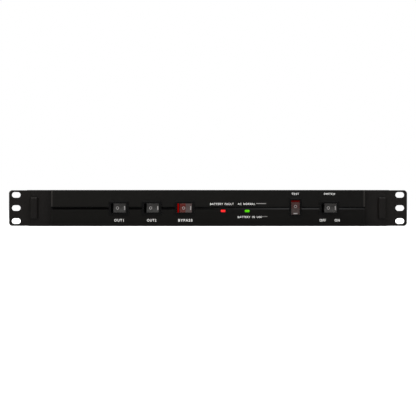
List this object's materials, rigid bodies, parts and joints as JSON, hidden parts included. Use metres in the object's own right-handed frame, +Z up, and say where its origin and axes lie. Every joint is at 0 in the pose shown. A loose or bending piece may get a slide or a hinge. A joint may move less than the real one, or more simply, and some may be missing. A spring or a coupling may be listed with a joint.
{
  "type": "rack uninterruptible power supply",
  "caption": "Flat rack-mounted uninterruptible power supply with slotted ears, a grooved front bezel, rocker switches, signal lamps and rear sockets.",
  "frame": {"origin": "centre of the rack slot pattern, on the rear face of the ears", "axes": "+X to the right seen from the front, +Y to the rear, +Z up; the front faces -Y"},
  "size_m": [0.4826, 0.4493, 0.0436],
  "materials": {
    "aluminium": "satin",
    "battery_plastic": "matte",
    "bezel_plastic": "satin",
    "black_plastic": "satin",
    "board_laminate": "satin",
    "button_plastic": "gloss",
    "cable_pvc": "satin",
    "capacitor_sleeve": "gloss",
    "case_paint": "matte",
    "coil_copper": "satin",
    "connector_plastic": "matte",
    "core_steel": "matte",
    "foam_rubber": "matte",
    "lamp_green": "gloss",
    "lamp_red": "gloss",
    "plate_paint": "satin",
    "plated_brass": "satin",
    "plated_steel": "satin",
    "relay_plastic": "satin",
    "rocker_grey": "gloss",
    "rocker_red": "gloss",
    "socket_nylon": "satin",
    "switch_nylon": "gloss",
    "trim_plastic": "satin",
    "zinc_sheet": "satin"
  },
  "bodies": {
    "rack_unit": {"battery_1": "battery_plastic", "battery_2": "battery_plastic", "battery_3": "battery_plastic", "battery_4": "battery_plastic", "battery_clamp": "zinc_sheet", "battery_pads": "foam_rubber", "battery_wiring": "cable_pvc", "bezel_screws": "plated_steel", "board_connectors": "connector_plastic", "board_screws": "plated_steel", "breaker_body": "black_plastic", "buzzer": "black_plastic", "bypass_switch_housing": "switch_nylon", "case_screws": "plated_steel", "chassis_tray": "case_paint", "control_board": "board_laminate", "ear_trim_left": "trim_plastic", "ear_trim_right": "trim_plastic", "earth_stud": "plated_steel", "fan_frame": "black_plastic", "fan_guard": "plated_steel", "fault_lamp": "lamp_red", "front_bezel": "bezel_plastic", "front_plate": "plate_paint", "heatsinks": "aluminium", "inlet_pins": "plated_brass", "line_choke": "coil_copper", "main_board": "board_laminate", "mains_inlet": "socket_nylon", "network_jacks": "black_plastic", "normal_lamp": "lamp_green", "outlet_1": "socket_nylon", "outlet_2": "socket_nylon", "outlet_3": "socket_nylon", "outlet_4": "socket_nylon", "output1_switch_housing": "switch_nylon", "output2_switch_housing": "switch_nylon", "plate_screws": "plated_steel", "power_switch_housing": "switch_nylon", "power_transistors": "black_plastic", "rear_nuts": "plated_steel", "relays": "relay_plastic", "ribbon_cable": "cable_pvc", "standoffs": "plated_steel", "storage_capacitors": "capacitor_sleeve", "switch_blades": "plated_brass", "test_switch_housing": "switch_nylon", "top_cover": "case_paint", "transformer_bolts": "plated_steel", "transformer_coil": "coil_copper", "transformer_core": "core_steel", "usb_jack": "plated_steel"},
    "output1_rocker": {"output1_rocker": "rocker_grey"},
    "output2_rocker": {"output2_rocker": "rocker_grey"},
    "bypass_rocker": {"bypass_rocker": "rocker_red"},
    "test_rocker": {"test_rocker": "rocker_red"},
    "power_rocker": {"power_rocker": "rocker_grey"},
    "breaker_button": {"breaker_button": "button_plastic"},
    "fan": {"fan_rotor": "black_plastic"}
  },
  "joints": [
    {"name": "output1_rocking", "type": "hinge", "parent": "rack_unit", "child": "output1_rocker", "pos_m": [-0.1082, -0.0061, 0], "axis": [0, 0, -1], "range_deg": [0, 18]},
    {"name": "output2_rocking", "type": "hinge", "parent": "rack_unit", "child": "output2_rocker", "pos_m": [-0.0681, -0.0061, 0], "axis": [0, 0, -1], "range_deg": [0, 18]},
    {"name": "bypass_rocking", "type": "hinge", "parent": "rack_unit", "child": "bypass_rocker", "pos_m": [-0.0283, -0.0061, 0], "axis": [0, 0, -1], "range_deg": [0, 18]},
    {"name": "test_rocking", "type": "hinge", "parent": "rack_unit", "child": "test_rocker", "pos_m": [0.1058, -0.0061, 0.0006], "axis": [-1, 0, 0], "range_deg": [0, 18]},
    {"name": "power_rocking", "type": "hinge", "parent": "rack_unit", "child": "power_rocker", "pos_m": [0.1467, -0.0061, 0], "axis": [0, 0, -1], "range_deg": [0, 18]},
    {"name": "breaker_trip", "type": "slide", "parent": "rack_unit", "child": "breaker_button", "axis": [0, 1, 0], "range_m": [0, 0.004]},
    {"name": "fan_spin", "type": "hinge", "parent": "rack_unit", "child": "fan", "pos_m": [-0.06, 0.41, 0.0001], "axis": [0, 1, 0], "continuous": true}
  ]
}
